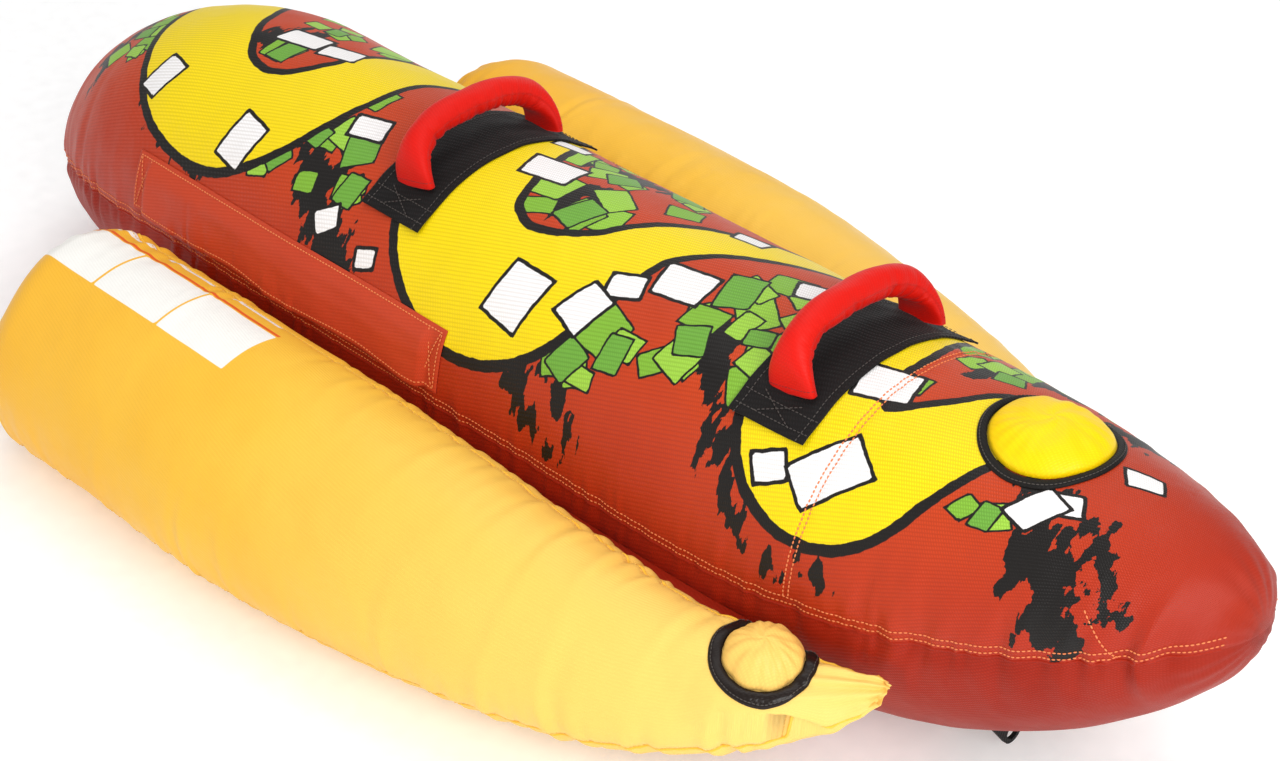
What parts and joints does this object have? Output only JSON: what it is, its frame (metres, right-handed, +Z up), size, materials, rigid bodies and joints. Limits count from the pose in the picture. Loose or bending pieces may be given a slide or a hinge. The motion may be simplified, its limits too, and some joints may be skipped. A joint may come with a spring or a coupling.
{
  "type": "towable tube",
  "caption": "Inflatable towable tube for riders in line: a long padded centre tube between side floats, with padded handles, covered valves and a tow tab under the nose.",
  "frame": {"origin": "on the ground under the middle of the tube's outer box", "axes": "+Z up, -Y towards the nose and the tow tab, +X to the rider's left"},
  "size_m": [1.1816, 2.297, 0.5879],
  "materials": {
    "printed_nylon": "woven, printed",
    "bottom_nylon": "woven",
    "bun_nylon": "woven, slight sheen",
    "bladder_pvc": "smooth PVC",
    "black_fabric": "coarse woven",
    "red_grip": "padded nylon",
    "flap_nylon": "woven",
    "bun_flap_nylon": "woven",
    "ring_black": "binding",
    "valve_plastic": "moulded",
    "seal_rubber": "matt",
    "zip_plastic": "matt",
    "slider_metal": "plated",
    "flap_red": "woven"
  },
  "bodies": {
    "tube": {"center_cover_top": "printed_nylon", "center_cover_bottom": "bottom_nylon", "center_bladder": "bladder_pvc", "center_valve_base": "valve_plastic", "center_valve_ring": "ring_black", "right_bun_cover_top": "bun_nylon", "right_bun_cover_bottom": "bun_nylon", "right_bun_bladder": "bladder_pvc", "right_bun_web": "bottom_nylon", "right_bun_valve_base": "valve_plastic", "right_bun_valve_ring": "ring_black", "left_bun_cover_top": "bun_nylon", "left_bun_cover_bottom": "bun_nylon", "left_bun_bladder": "bladder_pvc", "left_bun_web": "bottom_nylon", "left_bun_valve_base": "valve_plastic", "left_bun_valve_ring": "ring_black", "front_knuckle_guard": "black_fabric", "rear_knuckle_guard": "black_fabric", "zipper_flap": "flap_red", "zipper": "zip_plastic", "tow_patch": "black_fabric"},
    "front_handle": {"front_grip_webbing": "black_fabric", "front_grip_pad": "red_grip"},
    "rear_handle": {"rear_grip_webbing": "black_fabric", "rear_grip_pad": "red_grip"},
    "center_flap": {"center_valve_flap": "flap_nylon"},
    "center_seal": {"center_valve_seal": "seal_rubber"},
    "center_cap": {"center_valve_cap": "valve_plastic"},
    "right_bun_flap": {"right_bun_valve_flap": "bun_flap_nylon"},
    "right_bun_seal": {"right_bun_valve_seal": "seal_rubber"},
    "right_bun_cap": {"right_bun_valve_cap": "valve_plastic"},
    "left_bun_flap": {"left_bun_valve_flap": "bun_flap_nylon"},
    "left_bun_seal": {"left_bun_valve_seal": "seal_rubber"},
    "left_bun_cap": {"left_bun_valve_cap": "valve_plastic"},
    "slider": {"zipper_slider": "slider_metal"},
    "tow": {"tow_tab": "black_fabric"}
  },
  "joints": [
    {"name": "front_handle_swing", "type": "hinge", "parent": "tube", "child": "front_handle", "pos_m": [0, -0.534, 0.48963], "axis": [1, 0, 0], "range_deg": [-28, 50]},
    {"name": "rear_handle_swing", "type": "hinge", "parent": "tube", "child": "rear_handle", "pos_m": [0, 0.18, 0.48977], "axis": [1, 0, 0], "range_deg": [-28, 50]},
    {"name": "center_flap_open", "type": "hinge", "parent": "tube", "child": "center_flap", "pos_m": [0, -0.7625, 0.51234], "axis": [-1, 0, 0], "range_deg": [0, 110]},
    {"name": "center_seal_rise", "type": "slide", "parent": "tube", "child": "center_seal", "axis": [0, 0, 1], "range_m": [0, 0.0101]},
    {"name": "center_cap_turn", "type": "hinge", "parent": "center_seal", "child": "center_cap", "pos_m": [0, -0.838, 0.50934], "axis": [0, 0, 1], "range_deg": [0, 900]},
    {"name": "right_bun_flap_open", "type": "hinge", "parent": "tube", "child": "right_bun_flap", "pos_m": [-0.30587, -0.62231, 0.26271], "axis": [-0.9917, 0.0083, -0.1283], "range_deg": [0, 110]},
    {"name": "right_bun_seal_rise", "type": "slide", "parent": "tube", "child": "right_bun_seal", "axis": [-0.1283, -0.1289, 0.9833], "range_m": [0, 0.0101]},
    {"name": "right_bun_cap_turn", "type": "hinge", "parent": "right_bun_seal", "child": "right_bun_cap", "pos_m": [-0.30506, -0.672, 0.25326], "axis": [-0.1283, -0.1289, 0.9833], "range_deg": [0, 900]},
    {"name": "left_bun_flap_open", "type": "hinge", "parent": "tube", "child": "left_bun_flap", "pos_m": [0.30587, -0.62231, 0.26271], "axis": [-0.9917, -0.0083, 0.1283], "range_deg": [0, 110]},
    {"name": "left_bun_seal_rise", "type": "slide", "parent": "tube", "child": "left_bun_seal", "axis": [0.1283, -0.1289, 0.9833], "range_m": [0, 0.0101]},
    {"name": "left_bun_cap_turn", "type": "hinge", "parent": "left_bun_seal", "child": "left_bun_cap", "pos_m": [0.30506, -0.672, 0.25326], "axis": [0.1283, -0.1289, 0.9833], "range_deg": [0, 900]},
    {"name": "slider_travel", "type": "slide", "parent": "tube", "child": "slider", "axis": [0, 1, 0], "range_m": [0, 0.575]},
    {"name": "tow_tab_swing", "type": "hinge", "parent": "tube", "child": "tow", "pos_m": [0, -0.823, 0.07806], "axis": [-1, 0, 0], "range_deg": [-45, 75]}
  ],
  "couplings": [
    {"joint": "center_seal_rise", "follows": "center_cap_turn", "m_per_rad": 0.00063662},
    {"joint": "right_bun_seal_rise", "follows": "right_bun_cap_turn", "m_per_rad": 0.00063662},
    {"joint": "left_bun_seal_rise", "follows": "left_bun_cap_turn", "m_per_rad": 0.00063662}
  ]
}
